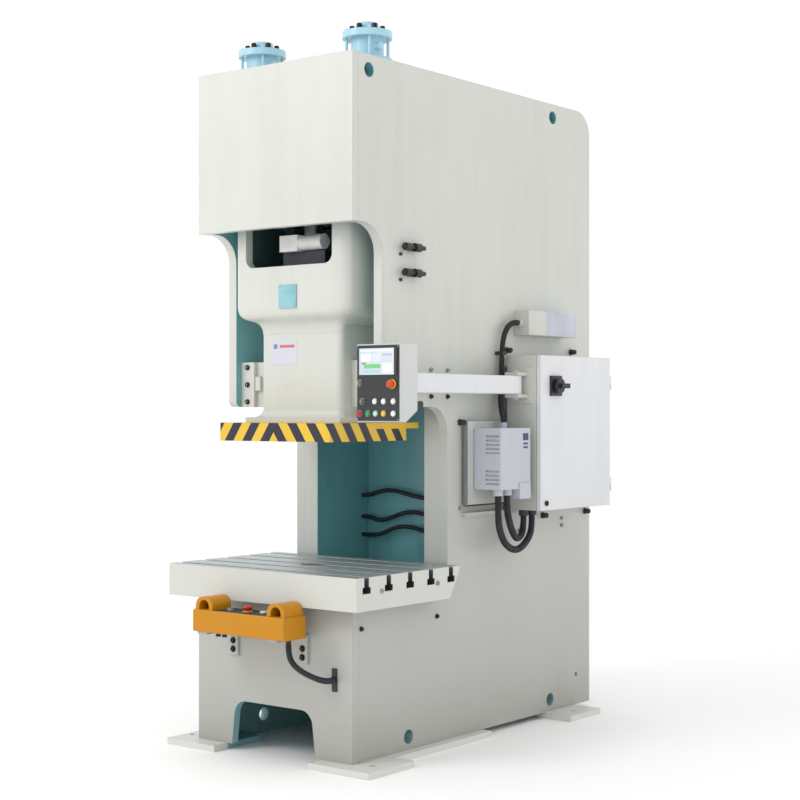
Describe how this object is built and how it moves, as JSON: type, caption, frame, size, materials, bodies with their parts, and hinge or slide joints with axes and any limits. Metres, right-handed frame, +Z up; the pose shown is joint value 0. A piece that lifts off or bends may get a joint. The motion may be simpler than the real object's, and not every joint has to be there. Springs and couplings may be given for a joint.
{
  "type": "mechanical stamping press",
  "caption": "C-frame stamping press with crank-driven slide, slotted bolster, balance cylinders, two-hand station, hanging operator panel and side cabinet.",
  "frame": {"origin": "centre of the four foot bolts, at floor level", "axes": "+Z up, the operator stands on the -Y side, +X is the side that carries the cabinet"},
  "size_m": [1.364, 2.235, 3.382],
  "materials": {
    "cream_paint": "semi-gloss",
    "teal_paint": "semi-gloss",
    "blue_paint": "semi-gloss",
    "grey_paint": "fine texture",
    "drive_grey": "fine texture",
    "machined_iron": "machined top",
    "hazard_paint": "striped",
    "orange_paint": "gloss",
    "steel": "turned",
    "gear_steel": "cut and oiled",
    "iron": "cast",
    "motor_blue": "semi-gloss",
    "black_rubber": "ribbed",
    "black_plastic": "fine grain",
    "dark_face": "fine grain",
    "screen": "smooth",
    "bare_plate": "brushed",
    "navy_paint": "semi-gloss",
    "switch_navy": "smooth",
    "red": "smooth",
    "white": "smooth",
    "green": "smooth",
    "yellow": "smooth",
    "clear_green": "smooth",
    "grey_plastic": "smooth"
  },
  "bodies": {
    "frame": {"side_plate_left": "cream_paint", "side_plate_right": "cream_paint", "crown_front": "cream_paint", "base_front": "cream_paint", "roof": "cream_paint", "throat_box": "teal_paint", "bed_plate": "teal_paint", "shoes": "cream_paint", "bolster": "machined_iron", "cross_walls": "teal_paint", "gibs": "cream_paint", "balance_cylinders": "blue_paint", "motor": "motor_blue", "drive_belt": "black_rubber", "cabinet_body": "grey_paint", "mounting_rail": "cream_paint", "drive_box": "drive_grey", "junction_box": "grey_paint", "fittings": "black_plastic", "conduits": "black_rubber", "station_box": "orange_paint", "station_bracket": "cream_paint"},
    "crank": {"crankshaft": "steel", "main_gear": "gear_steel"},
    "rod": {"connecting_rod": "iron"},
    "pinion": {"pinion_shaft": "gear_steel"},
    "wheel": {"flywheel": "iron"},
    "pulley": {"motor_pulley": "iron"},
    "slide": {"slide_body": "cream_paint", "slide_pad": "hazard_paint", "slide_plate": "bare_plate", "balance_rods": "steel", "adjusting_screw": "steel", "adjuster": "navy_paint", "adjuster_motor": "white"},
    "door": {"cabinet_door": "grey_paint", "door_fittings": "black_plastic"},
    "switch": {"main_switch": "switch_navy"},
    "arm": {"hanging_arm": "grey_paint", "arm_grip": "black_plastic"},
    "panel": {"panel_box": "grey_paint", "panel_face": "dark_face", "panel_screen": "screen"},
    "button_white_a": {"button_white_a": "white"},
    "button_white_b": {"button_white_b": "white"},
    "button_white_c": {"button_white_c": "white"},
    "button_red": {"button_red": "red"},
    "button_green": {"button_green": "green"},
    "button_clear": {"button_clear": "clear_green"},
    "button_yellow": {"button_yellow": "yellow"},
    "button_white_d": {"button_white_d": "white"},
    "panel_stop": {"panel_stop": "red"},
    "panel_key": {"panel_key": "black_plastic"},
    "panel_selector": {"panel_selector": "black_plastic"},
    "palm_left": {"palm_left": "black_plastic"},
    "palm_right": {"palm_right": "black_plastic"},
    "station_grey": {"station_grey": "grey_plastic"},
    "station_white": {"station_white": "white"},
    "station_black": {"station_black": "black_plastic"},
    "station_stop": {"station_stop": "red"}
  },
  "joints": [
    {"name": "crank_turn", "type": "hinge", "parent": "frame", "child": "crank", "pos_m": [0, -0.585, 2.785], "axis": [0, 1, 0], "range_deg": [0, 180]},
    {"name": "rod_hang", "type": "hinge", "parent": "crank", "child": "rod", "pos_m": [0, -0.585, 2.865], "axis": [0, 1, 0], "range_deg": [-180.5, 0]},
    {"name": "pinion_turn", "type": "hinge", "parent": "frame", "child": "pinion", "pos_m": [0, -0.22, 2.35], "axis": [0, 1, 0], "range_deg": [-864.5, 0]},
    {"name": "wheel_spin", "type": "hinge", "parent": "frame", "child": "wheel", "pos_m": [0, 0.61, 2.35], "axis": [0, 1, 0], "continuous": true},
    {"name": "pulley_spin", "type": "hinge", "parent": "frame", "child": "pulley", "pos_m": [0, 0.61, 1.64], "axis": [0, 1, 0], "continuous": true},
    {"name": "slide_stroke", "type": "slide", "parent": "frame", "child": "slide", "axis": [0, 0, 1], "range_m": [-0.1601, 0]},
    {"name": "door_open", "type": "hinge", "parent": "frame", "child": "door", "pos_m": [0.6975, 0.972, 1.487], "axis": [0, 0, 1], "range_deg": [0, 110]},
    {"name": "switch_turn", "type": "hinge", "parent": "door", "child": "switch", "pos_m": [0.735, 0.423, 1.719], "axis": [1, 0, 0], "range_deg": [0, 90]},
    {"name": "arm_swing", "type": "hinge", "parent": "frame", "child": "arm", "pos_m": [0.598, 0.24, 1.722], "axis": [0, 0, 1], "range_deg": [0, 90]},
    {"name": "panel_swivel", "type": "hinge", "parent": "arm", "child": "panel", "pos_m": [0.598, -0.708, 1.722], "axis": [0, 0, 1], "range_deg": [-30, 45]},
    {"name": "press_white_a", "type": "slide", "parent": "panel", "child": "button_white_a", "axis": [0, 1, 0], "range_m": [0, 0.004], "stiffness_N_per_m": 600},
    {"name": "press_white_b", "type": "slide", "parent": "panel", "child": "button_white_b", "axis": [0, 1, 0], "range_m": [0, 0.004], "stiffness_N_per_m": 600},
    {"name": "press_white_c", "type": "slide", "parent": "panel", "child": "button_white_c", "axis": [0, 1, 0], "range_m": [0, 0.004], "stiffness_N_per_m": 600},
    {"name": "press_red", "type": "slide", "parent": "panel", "child": "button_red", "axis": [0, 1, 0], "range_m": [0, 0.004], "stiffness_N_per_m": 600},
    {"name": "press_green", "type": "slide", "parent": "panel", "child": "button_green", "axis": [0, 1, 0], "range_m": [0, 0.004], "stiffness_N_per_m": 600},
    {"name": "press_clear", "type": "slide", "parent": "panel", "child": "button_clear", "axis": [0, 1, 0], "range_m": [0, 0.004], "stiffness_N_per_m": 600},
    {"name": "press_yellow", "type": "slide", "parent": "panel", "child": "button_yellow", "axis": [0, 1, 0], "range_m": [0, 0.004], "stiffness_N_per_m": 600},
    {"name": "press_white_d", "type": "slide", "parent": "panel", "child": "button_white_d", "axis": [0, 1, 0], "range_m": [0, 0.004], "stiffness_N_per_m": 600},
    {"name": "press_panel_stop", "type": "slide", "parent": "panel", "child": "panel_stop", "axis": [0, 1, 0], "range_m": [0, 0.005], "stiffness_N_per_m": 900},
    {"name": "turn_panel_key", "type": "hinge", "parent": "panel", "child": "panel_key", "pos_m": [0.522, -0.872, 1.7185], "axis": [0, 1, 0], "range_deg": [0, 90]},
    {"name": "turn_panel_selector", "type": "hinge", "parent": "panel", "child": "panel_selector", "pos_m": [0.536, -0.872, 1.6375], "axis": [0, 1, 0], "range_deg": [-45, 45]},
    {"name": "press_palm_left", "type": "slide", "parent": "frame", "child": "palm_left", "axis": [0, 0, -1], "range_m": [0, 0.006], "stiffness_N_per_m": 1200},
    {"name": "press_palm_right", "type": "slide", "parent": "frame", "child": "palm_right", "axis": [0, 0, -1], "range_m": [0, 0.006], "stiffness_N_per_m": 1200},
    {"name": "press_station_grey", "type": "slide", "parent": "frame", "child": "station_grey", "axis": [0, 0, -1], "range_m": [0, 0.005], "stiffness_N_per_m": 800},
    {"name": "press_station_white", "type": "slide", "parent": "frame", "child": "station_white", "axis": [0, 0, -1], "range_m": [0, 0.005], "stiffness_N_per_m": 800},
    {"name": "press_station_black", "type": "slide", "parent": "frame", "child": "station_black", "axis": [0, 0, -1], "range_m": [0, 0.005], "stiffness_N_per_m": 800},
    {"name": "press_station_stop", "type": "slide", "parent": "frame", "child": "station_stop", "axis": [0, 0, -1], "range_m": [0, 0.006], "stiffness_N_per_m": 900}
  ],
  "couplings": [
    {"joint": "rod_hang", "follows": "crank_turn", "ratio": -1},
    {"joint": "pinion_turn", "follows": "crank_turn", "ratio": -4.8},
    {"joint": "slide_stroke", "follows": "crank_turn", "m_per_rad": -0.05093},
    {"joint": "pulley_spin", "follows": "wheel_spin", "ratio": 4.75}
  ]
}
